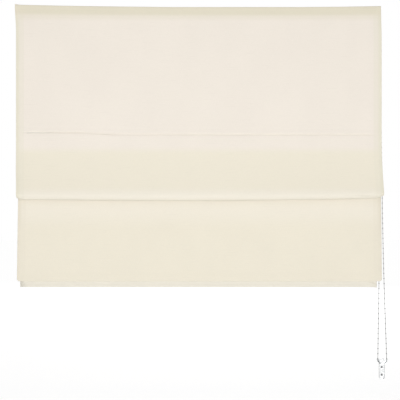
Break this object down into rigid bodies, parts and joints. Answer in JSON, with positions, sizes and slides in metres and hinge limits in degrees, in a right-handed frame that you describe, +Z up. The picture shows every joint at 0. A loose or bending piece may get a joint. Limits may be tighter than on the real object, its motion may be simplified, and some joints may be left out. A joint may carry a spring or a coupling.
{
  "type": "roman blind",
  "caption": "Cream cloth roman blind with a soft pleat, hung from a slim head rail; cords wound by a bead chain at the right end raise its lower panel.",
  "frame": {"origin": "midway between the two wall screws of the middle bracket, on the wall face", "axes": "+X along the head rail towards the chain, +Y into the wall, +Z up"},
  "size_m": [1.3284, 0.0631, 1.3385],
  "materials": {
    "rail_coat": "white powder coat on aluminium, satin",
    "hook_tape": "white hooked tape",
    "loop_tape": "white napped tape",
    "bracket_steel": "zinc-plated spring steel",
    "end_plastic": "white moulded plastic",
    "drive_plastic": "pale grey moulded plastic",
    "shaft_steel": "drawn square bar",
    "cloth_upper": "cream plain weave",
    "cloth_pleat": "cream plain weave",
    "cloth_lower": "cream plain weave",
    "rod_fibre": "white glass-fibre rod",
    "tip_plastic": "white moulded plastic",
    "clip_plastic": "white moulded plastic",
    "bar_metal": "mill finish",
    "cord_yarn": "white braided cord",
    "chain_plastic": "pale grey moulded beads",
    "clear_plastic": "clear moulded plastic"
  },
  "bodies": {
    "rail": {"headrail": "rail_coat", "hook_tape": "hook_tape", "loop_tape": "loop_tape", "bracket_left": "bracket_steel", "bracket_middle": "bracket_steel", "bracket_right": "bracket_steel", "idle_end_cap": "end_plastic", "control_housing": "end_plastic", "control_cover": "end_plastic", "spool_cradles": "drive_plastic", "cloth_upper": "cloth_upper", "front_rod": "rod_fibre", "front_rod_tips": "tip_plastic", "cloth_pleat": "cloth_pleat", "lift_cords": "cord_yarn", "bead_chain": "chain_plastic", "chain_connector": "clear_plastic", "chain_tensioner": "clear_plastic"},
    "drive": {"drive_shaft": "shaft_steel", "chain_wheel": "drive_plastic", "idle_bush": "drive_plastic", "spools": "drive_plastic"},
    "lift": {"cloth_lower": "cloth_lower", "lift_rod": "rod_fibre", "lift_rod_tips": "tip_plastic", "cord_clips": "clip_plastic", "cord_stops": "clip_plastic", "bottom_bar": "bar_metal", "bottom_bar_tips": "tip_plastic"}
  },
  "joints": [
    {"name": "lift_slide", "type": "slide", "parent": "rail", "child": "lift", "axis": [0, 0, 1], "range_m": [-0.36, 0.36], "deforming": ["cloth_pleat", "lift_cords"]},
    {"name": "shaft_turn", "type": "hinge", "parent": "rail", "child": "drive", "pos_m": [0, -0.02, 0], "axis": [1, 0, 0], "range_deg": [-2293, 2293]}
  ],
  "couplings": [
    {"joint": "shaft_turn", "follows": "lift_slide", "rad_per_m": 111.11}
  ]
}
